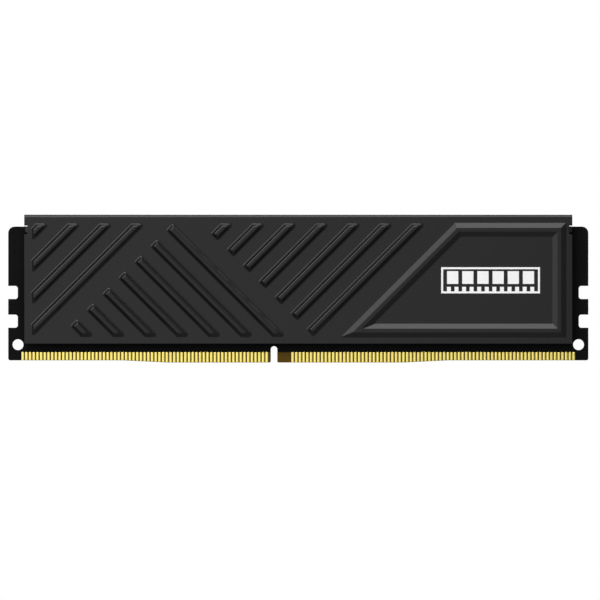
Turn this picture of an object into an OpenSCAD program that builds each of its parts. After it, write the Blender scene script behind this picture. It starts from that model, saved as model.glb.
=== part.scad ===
// Memory module for a desktop computer: a circuit board with chips on both
// faces and gold contacts along its lower edge, closed in by two stamped
// aluminium plates that carry the chips' heat away.
//
// X runs along the module, Y through its thickness and Z up. The origin is in
// the middle of the contact edge, on the board's mid-plane. The front plate
// faces -Y. Lengths are in millimetres.
//
// Thicknesses add up outwards from the mid-plane: laminate, solder mask,
// solder balls, chip, thermal pad, plate, stamping.

/* [Board] */
// Length of the circuit board
board_length = 133.35; // [132.5:0.05:134.5]
// Height of the circuit board
board_height = 31.25; // [30.5:0.05:32]
// Thickness of the bare laminate
laminate_t = 1.3; // [1.1:0.05:1.5]
// Thickness of the solder mask, and of the contacts beside it
skin_t = 0.05; // [0.03:0.01:0.1]
// Radius of the two upper corners
board_top_r = 1.5; // [0.5:0.1:2.5]
// Radius of the two lower corners
board_bottom_r = 0.5; // [0.2:0.1:1.5]

/* [Contact edge] */
// How far the outer stretches of the contact edge sit above its middle
edge_step = 0.5; // [0.1:0.05:0.8]
// Distance from the left end to the left slope
left_slope_start = 26.3; // [20:0.1:40]
// Distance from the right end to the right slope
right_slope_start = 32.25; // [20:0.05:50]
// Length of each slope
slope_length = 10.2; // [5:0.1:15]

/* [Key notch] */
// Distance from the left end to the middle of the notch
key_from_left = 61.1; // [61:0.05:61.2]
// Width of the notch
key_width = 1.5; // [1.2:0.1:1.6]
// Height of the notch's round top
key_height = 3.75; // [3:0.05:4]
// Radius where the notch meets the contact edge
key_mouth_r = 0.3; // [0.1:0.05:0.4]

/* [Latch notches] */
// Height of the lower notches' centres
latch_low_z = 9.5; // [8:0.1:11]
// Height of the upper notches' centres
latch_high_z = 16.1; // [15:0.1:18]
// Depth of a notch
latch_depth = 2.2; // [1.5:0.1:3]
// Height of a notch
latch_height = 3; // [2:0.1:4]
// Radius of a notch's inner corners
latch_r = 0.6; // [0.2:0.1:0.9]

/* [Registration holes] */
// Radius of each hole
hole_r = 1.25; // [1:0.05:1.4]
// Distance from the board's end to the hole's centre
hole_inset = 2.25; // [2:0.05:2.5]
// Height of the hole's centre
hole_z = 4.1; // [3.5:0.1:5]

/* [Contacts] */
// Spacing of the contacts
contact_pitch = 0.85; // [0.8:0.01:0.85]
// Width of one contact
contact_width = 0.6; // [0.4:0.05:0.7]
// Height of the contacts' upper ends
contact_top = 2.4; // [1.5:0.1:2.8]
// Number of contacts to the left of the key notch
contacts_left = 67; // [20:1:67]
// Number of contacts to the right of the key notch
contacts_right = 77; // [20:1:77]
// Distance from the board's end to the centre of its nearest contact
contact_margin = 3.35; // [3.2:0.05:3.5]

/* [Heat-spreader plates] */
// Length of each plate
plate_length = 126; // [124:0.5:130]
// Height of the plates' lower edge
plate_bottom_z = 4.33; // [3.5:0.01:5]
// Height of the plates' upper face, which is the height of the module
plate_top_z = 34; // [33.4:0.1:36]
// Thickness of the sheet
sheet_t = 0.6; // [0.5:0.05:1]
// Inner radius of the bends
bend_inner_r = 0.15; // [0.1:0.05:0.3]
// Gap between the two plates' top flanges
seam_gap = 0.1; // [0.05:0.05:0.5]
// Height of the relief slots beside each end tab
slot_height = 0.45; // [0.3:0.05:0.8]
// Height of the end tab's lower edge
tab_bottom_z = 29.9; // [29:0.05:30.3]
// Height of the end tab's upper edge
tab_top_z = 31.3; // [30.6:0.05:31.5]

/* [Stamped ribs] */
// How far the ribs and the frame stand out of the plate
stamp_height = 0.7; // [0.3:0.05:0.8]
// Height of the lowest stamping
stamp_bottom_z = 5.76; // [5.3:0.01:6.5]
// Height of the highest stamping
stamp_top_z = 32.1; // [31.5:0.1:32.4]
// Distance from the middle to the outermost stamping at each end
stamp_half_length = 61.6; // [60.5:0.1:61.7]
// Width of a rib at its foot
rib_width = 2.54; // [2.3:0.02:3]
// Width of a rib's sloping wall
rib_wall = 1.05; // [0.8:0.05:1.1]
// Spacing of the ribs, measured across them
rib_pitch = 5.185; // [5.1:0.005:5.25]
// Number of rising ribs at the left end
left_ribs = 4; // [1:1:4]
// Number of falling ribs in the middle
middle_ribs = 7; // [1:1:7]
// Number of rising ribs beside the frame
right_ribs = 7; // [1:1:7]
// Where the lower foot of the last left rib would reach the height of the origin
left_foot_x = -66.86; // [-67.5:0.01:-66]
// Where the upper foot of the last middle rib would reach the height of the origin
middle_foot_x = 3.37; // [3:0.01:4]
// Bare strip between one group of ribs and the ends of the next
group_gap = 4.15; // [3.8:0.05:4.4]

/* [Stamped frame] */
// Where the frame's slanted side would reach the height of the origin
frame_foot_x = 3.95; // [3.5:0.05:6]
// Bare strip between the frame and the nearest rib
frame_gap = 4.5; // [4:0.05:4.7]
// Width of each of the frame's two sloping walls
frame_wall = 1.15; // [0.8:0.05:1.4]
// Width of the flat between them
frame_flat = 0.87; // [0.5:0.01:1.5]

/* [Memory chips] */
// Length of a chip's package
chip_length = 8; // [7:0.1:10]
// Height of a chip's package
chip_height = 12; // [10.5:0.1:13]
// Thickness of a chip's package
chip_t = 0.85; // [0.6:0.05:1]
// Spacing of the chips
chip_pitch = 13.9; // [12:0.1:14.2]
// Distance from the middle to the nearest chip's centre
chip_first_x = 13; // [11:0.1:14]
// Height of the chips' centres
chip_z = 18; // [17:0.1:19]
// Height of a solder ball after soldering
ball_height = 0.25; // [0.2:0.01:0.35]
// Radius of a solder ball
ball_r = 0.2; // [0.15:0.01:0.25]
// Spacing of the solder balls
ball_pitch = 0.8; // [0.7:0.05:0.8]
// Number of rows of solder balls
ball_rows = 13; // [3:2:13]

/* [Thermal pads] */
// Thickness of a pad once pressed
pad_t = 0.5; // [0.3:0.05:1]
// Length of a pad
pad_length = 118; // [112:1:121]
// Height of a pad
pad_height = 13; // [12:0.1:15]

/* [Small components] */
// Length and height of a decoupling capacitor
capacitor_plan = [1, 0.5]; // [0.4:0.1:1]
// Thickness of a decoupling capacitor
capacitor_t = 0.5; // [0.3:0.05:0.8]
// Distance from a chip's edge to the capacitors above and below it
capacitor_gap = 1.6; // [1:0.1:2]
// Length and height of a bulk capacitor
bulk_plan = [2, 1.25]; // [1:0.05:2]
// Thickness of a bulk capacitor
bulk_t = 0.9; // [0.5:0.05:1.2]
// Length and height of a resistor pack
resistor_plan = [2, 1]; // [0.8:0.1:2]
// Thickness of a resistor pack
resistor_t = 0.45; // [0.3:0.05:0.6]
// Height of the resistor packs' centres
resistor_z = 6.3; // [6.2:0.1:7]
// Length and height of the settings memory chip
eeprom_plan = [2, 3]; // [2:0.1:3]
// Thickness of the settings memory chip
eeprom_t = 0.55; // [0.4:0.05:0.8]
// Height of the settings memory chip's centre
eeprom_z = 14; // [12:0.1:16]

/* [Mark and label] */
// Length of the printed mark
mark_length = 22.7; // [20:0.1:23]
// Height of the printed mark
mark_height = 6; // [5:0.1:8]
// Distance from the middle to the mark's centre
mark_x = 44.2; // [43:0.1:45]
// Height of the mark's centre, and of the label's
mark_z = 18.9; // [17.5:0.1:20]
// Line width of the mark
mark_line = 0.45; // [0.3:0.05:0.6]
// Thickness of the print
mark_t = 0.04; // [0.02:0.01:0.1]
// Number of chips drawn in the mark
mark_chips = 6; // [3:1:6]
// Length of the label on the back
label_length = 21; // [15:0.5:21]
// Height of the label
label_height = 15; // [10:0.5:15]
// Distance from the middle to the label's centre
label_x = 46.7; // [46.5:0.1:47]
// Radius of the label's corners
label_r = 1; // [0.5:0.1:2]
// Thickness of the label
label_t = 0.1; // [0.05:0.01:0.2]

/* [Hidden] */
$fn = 48;
CHIPS_PER_SIDE = 8;
FRONT_CHIPS = [for (i = [1:CHIPS_PER_SIDE]) str("dram_", i)];
BACK_CHIPS = [for (i = [1:CHIPS_PER_SIDE]) str("dram_", CHIPS_PER_SIDE + i)];

// How far a cutting or joining solid runs past the surface it works on
over = 0.1;
// Longer than anything on the module
far = 150;

left_x = -board_length / 2;
right_x = board_length / 2;
key_x = left_x + key_from_left;
left_slope_x = left_x + left_slope_start;
right_slope_x = right_x - right_slope_start;

// Distances of the layers' faces from the mid-plane
board_face = laminate_t / 2 + skin_t;
chip_foot = board_face + ball_height;
chip_face = chip_foot + chip_t;
plate_inner = chip_face + pad_t;
plate_face = plate_inner + sheet_t;
stamp_face = plate_face + stamp_height;

// Outer radius of the plates' bends
bend_r = sheet_t + bend_inner_r;

contact_xs = [
    for (i = [0:contacts_left - 1]) left_x + contact_margin + i * contact_pitch,
    for (i = [0:contacts_right - 1]) right_x - contact_margin - i * contact_pitch
];
chip_xs = [
    for (i = [0:CHIPS_PER_SIDE - 1])
        let (from_middle = i - (CHIPS_PER_SIDE - 1) / 2)
        sign(from_middle) * (chip_first_x + (abs(from_middle) - 0.5) * chip_pitch)
];
// Columns of solder balls stand in two blocks of three with a bare strip between
ball_columns = [-4, -3, -2, 2, 3, 4];

// One resistor pack serves four contacts, and none stands under the plates' ends
pack_pitch = 4 * contact_pitch;
first_pack = contact_margin + 1.5 * contact_pitch;
resistor_xs = [
    for (i = [1:floor(contacts_left / 4) - 1]) left_x + first_pack + i * pack_pitch,
    for (i = [1:floor(contacts_right / 4) - 1]) right_x - first_pack - i * pack_pitch
];
// Places of the capacitors about each chip, as distances from its centre
capacitor_row_z = chip_height / 2 + capacitor_gap;
capacitor_places = [
    for (x = [-2.6, 0, 2.6]) [x, capacitor_row_z],
    for (x = [-1.6, 1.6]) [x, -capacitor_row_z]
];
// Places of the bulk capacitors between the two middle chips
bulk_places = [for (x = [-3.4, 3.4], z = [15, 22]) [x, z]];

// Rising ribs are placed by the distance across them from a rising line
// through the origin, and falling ribs from a falling one
diagonal = sqrt(2);
frame_side = frame_foot_x / diagonal;
left_high = left_foot_x / diagonal;
left_low = left_high - rib_width - (left_ribs - 1) * rib_pitch;
middle_high = middle_foot_x / diagonal;
middle_low = middle_high - rib_width - (middle_ribs - 1) * rib_pitch;
right_low = frame_side - frame_gap - rib_width - (right_ribs - 1) * rib_pitch;

// Height of the contact edge at a distance x from the middle
function edge_z(x) =
    let (up_the_slope = min(x - left_slope_x, right_slope_x - x) / slope_length)
    edge_step * (1 - max(0, min(1, up_the_slope)));

// ---- Shapes used by several parts ----

// An outline drawn in X and Z becomes a layer in front of the mid-plane
module layer(near, t) {
    translate([0, -near, 0]) rotate([90, 0, 0]) linear_extrude(t) children();
}

// An outline drawn in Y and Z becomes a bar along X
module along_x(length) {
    rotate([90, 0, 90]) linear_extrude(length, center = true) children();
}

module on_back() {
    mirror([0, 1, 0]) children();
}

module at_both_ends() {
    children();
    mirror([1, 0, 0]) children();
}

// What is cut away to round a square corner that stands at the origin
module corner_waste(r) {
    difference() {
        translate([-over, -over]) square(r + over);
        translate([r, r]) circle(r);
    }
}

// A box in front of the board, centred at x and z, with its near face at foot
module box_at(x, z, plan, t, foot = board_face) {
    translate([x - plan[0] / 2, -foot - t, z - plan[1] / 2]) cube([plan[0], t, plan[1]]);
}

// ---- Circuit board ----

module latch_notch() {
    flat = latch_height - 2 * latch_r;
    translate([-over, -flat / 2]) square([latch_depth + over, flat]);
    translate([-over, -latch_height / 2]) square([latch_depth - latch_r + over, latch_height]);
    for (s = [-1, 1]) translate([latch_depth - latch_r, s * flat / 2]) circle(latch_r);
}

// Everything cut out of the board at its left end
module board_end_cuts() {
    translate([left_x, edge_step]) corner_waste(board_bottom_r);
    translate([left_x, board_height]) mirror([0, 1]) corner_waste(board_top_r);
    for (z = [latch_low_z, latch_high_z]) translate([left_x, z]) latch_notch();
    translate([left_x + hole_inset, hole_z]) circle(hole_r);
}

module key_notch() {
    r = key_width / 2;
    translate([-r, -over]) square([key_width, key_height - r + over]);
    translate([0, key_height - r]) circle(r);
    for (s = [0, 1]) mirror([s, 0]) translate([r, 0]) corner_waste(key_mouth_r);
}

module board_outline() {
    difference() {
        polygon([
            [left_x, edge_step],
            [left_slope_x, edge_step],
            [left_slope_x + slope_length, 0],
            [right_slope_x - slope_length, 0],
            [right_slope_x, edge_step],
            [right_x, edge_step],
            [right_x, board_height],
            [left_x, board_height]
        ]);
        at_both_ends() board_end_cuts();
        translate([key_x, 0]) key_notch();
    }
}

module pcb() {
    color([0.31, 0.23, 0.08]) layer(-laminate_t / 2, laminate_t) board_outline();
}

// The mask covers a face of the board but for the zone of the contacts
module solder_mask() {
    zone = board_length - 2 * contact_margin + contact_width;
    layer(laminate_t / 2, skin_t) difference() {
        board_outline();
        translate([-zone / 2, -over]) square([zone, contact_top + over]);
    }
}

module solder_mask_front() {
    color([0.07, 0.07, 0.07]) solder_mask();
}

module solder_mask_back() {
    color([0.07, 0.07, 0.07]) on_back() solder_mask();
}

module contacts() {
    half = contact_width / 2;
    for (x = contact_xs) {
        foot = max(edge_z(x - half), edge_z(x + half));
        plan = [contact_width, contact_top - foot];
        box_at(x, foot + plan[1] / 2, plan, skin_t, laminate_t / 2);
    }
}

module contacts_front() {
    color([0.95, 0.82, 0.35]) contacts();
}

module contacts_back() {
    color([0.95, 0.82, 0.35]) on_back() contacts();
}

// ---- Components on the board ----

module dram(x) {
    color([0.12, 0.12, 0.13]) box_at(x, chip_z, [chip_length, chip_height], chip_t, chip_foot);
}

module solder_balls() {
    for (x = chip_xs, column = ball_columns, row = [1:ball_rows]) {
        z = chip_z + (row - (ball_rows + 1) / 2) * ball_pitch;
        translate([x + column * ball_pitch, -board_face, z])
            rotate([90, 0, 0]) cylinder(h = ball_height, r = ball_r, $fn = 16);
    }
}

module solder_balls_front() {
    color([0.75, 0.76, 0.78]) solder_balls();
}

module solder_balls_back() {
    color([0.75, 0.76, 0.78]) on_back() solder_balls();
}

// The package, and the ends of its four leads on each side
module spd_eeprom() {
    lead_plan = [0.15, 0.25];
    lead_t = 0.15;
    lead_pitch = 0.5;
    color([0.12, 0.12, 0.13]) box_at(0, eeprom_z, eeprom_plan, eeprom_t);
    color([0.75, 0.76, 0.78]) for (s = [-1, 1], row = [-1.5:1.5]) {
        x = s * (eeprom_plan[0] + lead_plan[0]) / 2;
        box_at(x, eeprom_z + row * lead_pitch, lead_plan, lead_t);
    }
}

module capacitors() {
    for (x = chip_xs, place = capacitor_places)
        box_at(x + place[0], chip_z + place[1], capacitor_plan, capacitor_t);
    for (place = bulk_places) box_at(place[0], place[1], bulk_plan, bulk_t);
}

module capacitors_front() {
    color([0.62, 0.48, 0.32]) capacitors();
}

module capacitors_back() {
    color([0.62, 0.48, 0.32]) on_back() capacitors();
}

module resistor_arrays() {
    for (x = resistor_xs) box_at(x, resistor_z, resistor_plan, resistor_t);
}

module resistor_arrays_front() {
    color([0.16, 0.16, 0.17]) resistor_arrays();
}

module resistor_arrays_back() {
    color([0.16, 0.16, 0.17]) on_back() resistor_arrays();
}

module thermal_pad() {
    box_at(0, chip_z, [pad_length, pad_height], pad_t, chip_face);
}

module thermal_pad_front() {
    color([0.55, 0.62, 0.68]) thermal_pad();
}

module thermal_pad_back() {
    color([0.55, 0.62, 0.68]) on_back() thermal_pad();
}

// ---- Heat-spreader plates ----

// A strip that stands out of the plate with its two long walls sloping in, or
// out if wall is negative. On the plate's face it lies between the distances
// low and high from the origin, measured across it. Untilted it runs upright,
// and it leans over to the right by tilt degrees. Its walls start root below
// the plate's face and run on by top above the height of the stamping.
module strip(tilt, low, high, wall, root = over, top = 0) {
    slope = wall / stamp_height;
    into = slope * root;
    out = slope * (stamp_height + top);
    rotate([0, tilt, 0]) linear_extrude(2 * far, center = true) polygon([
        [low - into, -plate_face + root],
        [low + out, -stamp_face - top],
        [high - out, -stamp_face - top],
        [high + into, -plate_face + root]
    ]);
}

// The region that all stamping keeps to
module stamp_region(wall) {
    intersection() {
        strip(90, -stamp_top_z, -stamp_bottom_z, wall);
        strip(0, -stamp_half_length, stamp_half_length, wall);
    }
}

// A row of parallel ribs, the first with its near foot at low
module rib_row(tilt, low, count) {
    for (i = [0:count - 1])
        strip(tilt, low + i * rib_pitch, low + i * rib_pitch + rib_width, rib_wall);
}

module left_rib_group() {
    intersection() {
        rib_row(45, left_low, left_ribs);
        stamp_region(rib_wall);
    }
}

module middle_rib_group() {
    intersection() {
        rib_row(-45, middle_low, middle_ribs);
        strip(45, left_high + group_gap, far, rib_wall);
        stamp_region(rib_wall);
    }
}

module right_rib_group() {
    intersection() {
        rib_row(45, right_low, right_ribs);
        strip(-45, middle_high + group_gap, far, rib_wall);
        stamp_region(rib_wall);
    }
}

module stamped_frame() {
    inset = 2 * frame_wall + frame_flat;
    difference() {
        intersection() {
            strip(45, frame_side, far, frame_wall);
            stamp_region(frame_wall);
        }
        intersection() {
            strip(45, frame_side + inset, far, -frame_wall, 2 * over, over);
            strip(90, inset - stamp_top_z, -inset - stamp_bottom_z, -frame_wall, 2 * over, over);
            strip(0, -far, stamp_half_length - inset, -frame_wall, 2 * over, over);
        }
    }
}

module stamping() {
    left_rib_group();
    middle_rib_group();
    right_rib_group();
    stamped_frame();
}

// The sheet from its lower edge up and over the board, in Y and Z
module plate_section() {
    difference() {
        polygon([
            [-plate_face, plate_bottom_z],
            [-plate_inner, plate_bottom_z],
            [-plate_inner, plate_top_z - sheet_t],
            [-seam_gap / 2, plate_top_z - sheet_t],
            [-seam_gap / 2, plate_top_z],
            [-plate_face, plate_top_z]
        ]);
        translate([-plate_face, plate_top_z]) mirror([0, 1]) corner_waste(bend_r);
    }
    translate([-plate_inner, plate_top_z - sheet_t]) mirror([0, 1]) corner_waste(bend_inner_r);
}

// The two slots that free the tab at the left end, as deep as its bend, and
// the bend's rounding
module tab_cuts() {
    end = -plate_length / 2;
    r = slot_height / 2;
    for (z = [tab_bottom_z - r, tab_top_z + r]) {
        translate([end - over, -plate_face - over, z - r])
            cube([bend_r - r + over, sheet_t + 2 * over, slot_height]);
        translate([end + bend_r - r, -plate_inner + over, z])
            rotate([90, 0, 0]) cylinder(h = sheet_t + 2 * over, r = r);
    }
    translate([end, -plate_face, tab_bottom_z])
        linear_extrude(tab_top_z - tab_bottom_z) corner_waste(bend_r);
}

// The tab that is bent back from the left end until it meets the board
module end_tab() {
    end = -plate_length / 2;
    translate([end, -plate_inner, tab_bottom_z]) linear_extrude(tab_top_z - tab_bottom_z) {
        translate([0, -over]) square([sheet_t, plate_inner - board_face + over]);
        translate([sheet_t, 0]) corner_waste(bend_inner_r);
    }
}

module heat_spreader() {
    difference() {
        union() {
            along_x(plate_length) plate_section();
            stamping();
            at_both_ends() end_tab();
        }
        translate([0, sheet_t, 0]) stamping();
        at_both_ends() tab_cuts();
    }
}

module front_plate() {
    color([0.2, 0.2, 0.2]) heat_spreader();
}

module back_plate() {
    color([0.2, 0.2, 0.2]) rotate([0, 0, 180]) heat_spreader();
}

// A plain picture of a memory module: its outline, chips and contacts
module front_mark() {
    contact_count = 2 * mark_chips;
    contact_band = mark_height / 4;
    inner = mark_length - 4 * mark_line;
    chip_plan = [inner / mark_chips - 2 * mark_line, mark_height - contact_band - 3.5 * mark_line];
    color([0.95, 0.95, 0.95]) layer(plate_face, mark_t) translate([mark_x, mark_z]) {
        difference() {
            square([mark_length, mark_height], center = true);
            square([mark_length - 2 * mark_line, mark_height - 2 * mark_line], center = true);
        }
        for (i = [0:mark_chips - 1])
            translate([((i + 0.5) / mark_chips - 0.5) * inner, (contact_band - mark_line / 2) / 2])
                square(chip_plan, center = true);
        for (i = [0:contact_count - 1])
            translate([((i + 0.5) / contact_count - 0.5) * inner, -mark_height / 2 + contact_band / 2])
                square([2 * mark_line, contact_band], center = true);
    }
}

module label() {
    color([0.9, 0.9, 0.9]) rotate([0, 0, 180]) layer(plate_face, label_t) difference() {
        translate([label_x - label_length / 2, mark_z - label_height / 2])
            square([label_length, label_height]);
        for (s = [-1, 1], t = [-1, 1])
            translate([label_x + s * label_length / 2, mark_z + t * label_height / 2])
                mirror([(s + 1) / 2, 0]) mirror([0, (t + 1) / 2]) corner_waste(label_r);
    }
}

pcb();
solder_mask_front();
solder_mask_back();
contacts_front();
contacts_back();
for (i = [0:CHIPS_PER_SIDE - 1]) {
    dram(chip_xs[i]);
    on_back() dram(chip_xs[i]);
}
solder_balls_front();
solder_balls_back();
spd_eeprom();
capacitors_front();
capacitors_back();
resistor_arrays_front();
resistor_arrays_back();
thermal_pad_front();
thermal_pad_back();
front_plate();
back_plate();
front_mark();
label();
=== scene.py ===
"""Looks for a memory module: a keyed circuit board between two stamped black heat-spreader plates.

Shapes are worked out in millimetres as x, depth and z, where depth is the distance from the board's
mid-plane. A piece on the front turns depth into -Y and a piece on the back into +Y.
"""

import math
import random

import bmesh
import bpy
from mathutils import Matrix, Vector
from mathutils.geometry import delaunay_2d_cdt

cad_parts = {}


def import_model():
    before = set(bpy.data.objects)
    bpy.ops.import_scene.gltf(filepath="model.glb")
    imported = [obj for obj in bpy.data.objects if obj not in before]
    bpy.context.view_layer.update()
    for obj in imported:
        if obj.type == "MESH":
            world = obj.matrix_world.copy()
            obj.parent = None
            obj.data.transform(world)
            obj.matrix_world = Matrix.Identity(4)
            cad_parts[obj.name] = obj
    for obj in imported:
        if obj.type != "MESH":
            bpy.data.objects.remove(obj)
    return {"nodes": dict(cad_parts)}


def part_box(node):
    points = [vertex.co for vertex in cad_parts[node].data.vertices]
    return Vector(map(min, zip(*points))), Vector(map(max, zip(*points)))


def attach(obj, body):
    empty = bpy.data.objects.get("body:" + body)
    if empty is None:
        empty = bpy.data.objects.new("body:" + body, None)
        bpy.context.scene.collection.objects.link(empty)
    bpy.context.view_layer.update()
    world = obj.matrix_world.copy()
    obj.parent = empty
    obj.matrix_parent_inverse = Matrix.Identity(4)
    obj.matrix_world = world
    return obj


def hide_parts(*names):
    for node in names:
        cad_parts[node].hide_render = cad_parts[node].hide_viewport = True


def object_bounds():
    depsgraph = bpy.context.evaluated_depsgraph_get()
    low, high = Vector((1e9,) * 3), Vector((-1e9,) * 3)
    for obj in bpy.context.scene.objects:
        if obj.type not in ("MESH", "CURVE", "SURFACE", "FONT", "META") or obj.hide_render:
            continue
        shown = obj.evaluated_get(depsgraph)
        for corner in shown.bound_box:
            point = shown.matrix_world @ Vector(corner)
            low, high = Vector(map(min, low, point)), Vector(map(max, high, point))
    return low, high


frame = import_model()
cad_low, cad_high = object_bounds()

MM = 0.001
DIAGONAL = math.sqrt(2)
BODY = "root"


def box_mm(node):
    low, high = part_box(node)
    return low / MM, high / MM


# ---- Sizes from the frame, in millimetres ----
PLATE_LOW, PLATE_HIGH = box_mm("front_plate")
PCB_LOW, PCB_HIGH = box_mm("pcb")
PAD_LOW, PAD_HIGH = box_mm("thermal_pad_front")
LABEL_LOW, LABEL_HIGH = box_mm("label")
CONTACT_TOP = box_mm("contacts_front")[1].z
LAMINATE_FACE = PCB_HIGH.y
BOARD_FACE = -box_mm("solder_mask_front")[0].y
CHIP_FACE = -PAD_HIGH.y
PLATE_INNER = -PAD_LOW.y
PLATE_FACE = -box_mm("front_mark")[1].y
STAMP_FACE = -PLATE_LOW.y
SHEET_T = PLATE_FACE - PLATE_INNER
STAMP_HEIGHT = STAMP_FACE - PLATE_FACE

# ---- Stamping, as the CAD has it; a diagonal is placed by its distance from one through the origin ----
STAMP_TOP = 32.1
STAMP_BOTTOM = 5.76
STAMP_HALF_LENGTH = 61.6
RIB_WIDTH = 2.54
RIB_WALL = 1.05
RIB_PITCH = 5.185
LEFT_RIBS, MIDDLE_RIBS, RIGHT_RIBS = 4, 7, 7
LEFT_HIGH = -66.86 / DIAGONAL
MIDDLE_HIGH = 3.37 / DIAGONAL
GROUP_GAP = 4.15
FRAME_SIDE = 3.95 / DIAGONAL
FRAME_GAP = 4.5
FRAME_WALL = 1.15
FRAME_FLAT = 0.87

# ---- The stamping's bends and corners, and the flat strip that is kept round it ----
RIB_BEND_R = 0.5
RIB_FOOT_CORNER, RIB_TOP_CORNER = 0.4, 0.08
FRAME_BEND_R = 0.1
FRAME_CORNER = 0.15
FLAT_RIM = 0.12
SHORTEST_EDGE = 0.6

# ---- Plate edges; the slots above the end tabs are narrower than the CAD's ----
BEND_R = SHEET_T + 0.15
SLOT_R = 0.225
TOP_SLOT_R = 0.09
SLOT_STEPS = 8
TAB_BOTTOM = 29.9
TAB_TOP = 31.3
RIM_R = 0.07
ARC_STEPS = 6

# ---- Contact edge; the contacts are a hair narrower than the CAD's ----
EDGE_STEP = 0.5
LEFT_SLOPE = PCB_LOW.x + 26.3
RIGHT_SLOPE = PCB_HIGH.x - 32.25
SLOPE_LENGTH = 10.2
CONTACT_PITCH = 0.85
CONTACT_WIDTH = 0.58
CONTACT_CORNER = 0.14
CONTACT_CROWN = 0.03
CONTACTS_LEFT, CONTACTS_RIGHT = 67, 77
CONTACT_MARGIN = 3.35

# ---- Traces and vias ----
TRACE_WIDTH = 0.11
TRACE_HEIGHT = 0.012
TRACE_START = CONTACT_TOP + 0.06
TRACE_TURN = 3.1
TRACE_STAGGER = 0.15
VIA_R = 0.3
VIA_MARGIN = 1.4
VIA_LOWEST = 20.5
VIA_PITCH = 2.3
VIAS = 4

# ---- Components; a capacitor's size is its length, height and thickness ----
SUBSTRATE_T = 0.2
DOT_R = 0.3
DOT_INSET = 0.9
BALL_PITCH = 0.8
BALL_R = 0.2
BALL_ROWS = 13
BALL_COLUMNS = (-4, -3, -2, 2, 3, 4)
BALL_SIDES = 8
ABOVE_CHIP = (-2.6, 0, 2.6)
BELOW_CHIP = (-1.6, 1.6)
CAPACITOR_GAP = 1.6
SMALL_CAPACITOR = (1.0, 0.5, 0.5)
BULK_X = (-3.4, 3.4)
BULK_Z = (15, 22)
BULK_CAPACITOR = (2.0, 1.25, 0.9)
LEAD_PITCH = 0.5
ROW_OF_FOUR = (-1.5, -0.5, 0.5, 1.5)

# ---- Camera, in metres, as the photo is framed ----
VIEW_WIDTH = 0.13792
VIEW_X, VIEW_Z = 0.000395, 0.01437
CAMERA_DISTANCE = 0.6


# ---- Outlines ----

def edge_z(x):
    """Height of the contact edge at x."""
    up = min(x - LEFT_SLOPE, RIGHT_SLOPE - x) / SLOPE_LENGTH
    return EDGE_STEP * (1 - max(0.0, min(1.0, up)))


def half_plane(angle, distance):
    """Everything on the near side of a line whose normal points at that angle, in degrees from +X."""
    return math.cos(math.radians(angle)), math.sin(math.radians(angle)), distance


def rising(low, high):
    """A strip that rises to the right, between two distances from a rising line through the origin."""
    return [half_plane(-45, high), half_plane(135, -low)]


def falling(low, high):
    """A strip that falls to the right, between two distances from a falling line through the origin."""
    return [half_plane(45, high), half_plane(225, -low)]


def rectangle(x0, z0, x1, z1):
    return [half_plane(-90, -z0), half_plane(0, x1), half_plane(90, z1), half_plane(180, -x0)]


def disc(x, z, radius, count):
    """A regular polygon of that many sides, round a circle."""
    normals = [half_plane(360 / count * n, 0)[:2] for n in range(count)]
    return [(nx, nz, x * nx + z * nz + radius) for nx, nz in normals]


def meet(a, b, inset):
    """Where the lines of two half-planes cross once both are moved in by inset."""
    cross = a[0] * b[1] - a[1] * b[0]
    da, db = a[2] - inset, b[2] - inset
    return (da * b[1] - db * a[1]) / cross, (a[0] * db - b[0] * da) / cross


def clipped(region, cuts):
    """The half-planes that bound what region and cuts share, in turn anticlockwise, but for any whose
    edge is too short to round."""
    sides = list(region)
    loop = [(meet(sides[i - 1], sides[i], 0), sides[i]) for i in range(len(sides))]
    for cut in cuts:
        kept = []
        for (p, side), (q, _) in zip(loop, loop[1:] + loop[:1]):
            dp = cut[0] * p[0] + cut[1] * p[1] - cut[2]
            dq = cut[0] * q[0] + cut[1] * q[1] - cut[2]
            if dp <= 0:
                kept.append((p, side))
            if dp * dq < 0:
                t = dp / (dp - dq)
                crossing = (p[0] + t * (q[0] - p[0]), p[1] + t * (q[1] - p[1]))
                kept.append((crossing, side if dp > 0 else cut))
        loop = kept
    corners = [p for p, _ in loop]
    after = corners[1:] + corners[:1]
    return [side for (p, side), q in zip(loop, after) if math.dist(p, q) > SHORTEST_EDGE]


def ring(sides, inset, radius, steps=4):
    """The outline moved in by inset, as points anticlockwise. Its corners are rounded, a square one to
    radius and a sharper one to more."""
    points = []
    for a, b in zip([sides[-1]] + sides[:-1], sides):
        start = math.atan2(a[1], a[0])
        turn = (math.atan2(b[1], b[0]) - start) % math.tau
        r = radius * turn / (math.pi / 2)
        cx, cz = meet(a, b, inset + r)
        for i in range(steps + 1):
            angle = start + turn * i / steps
            points.append((cx + r * math.cos(angle), cz + r * math.sin(angle)))
    return points


def moved_in(outline, inset):
    """A closed anticlockwise outline with each edge moved inwards."""
    points = []
    for before, here, after in zip(outline[-1:] + outline[:-1], outline, outline[1:] + outline[:1]):
        first = Vector(here) - Vector(before)
        second = Vector(after) - Vector(here)
        n1 = Vector((-first.y, first.x)).normalized()
        n2 = Vector((-second.y, second.x)).normalized()
        points.append(tuple(Vector(here) + (n1 + n2) * (inset / (1 + n1.dot(n2)))))
    return points


def inside(point, outline):
    x, z = point
    odd = False
    for (x0, z0), (x1, z1) in zip(outline, outline[1:] + outline[:1]):
        if (z0 > z) != (z1 > z) and x < x0 + (z - z0) / (z1 - z0) * (x1 - x0):
            odd = not odd
    return odd


# ---- Profiles, as pairs of inset and height ----

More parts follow.
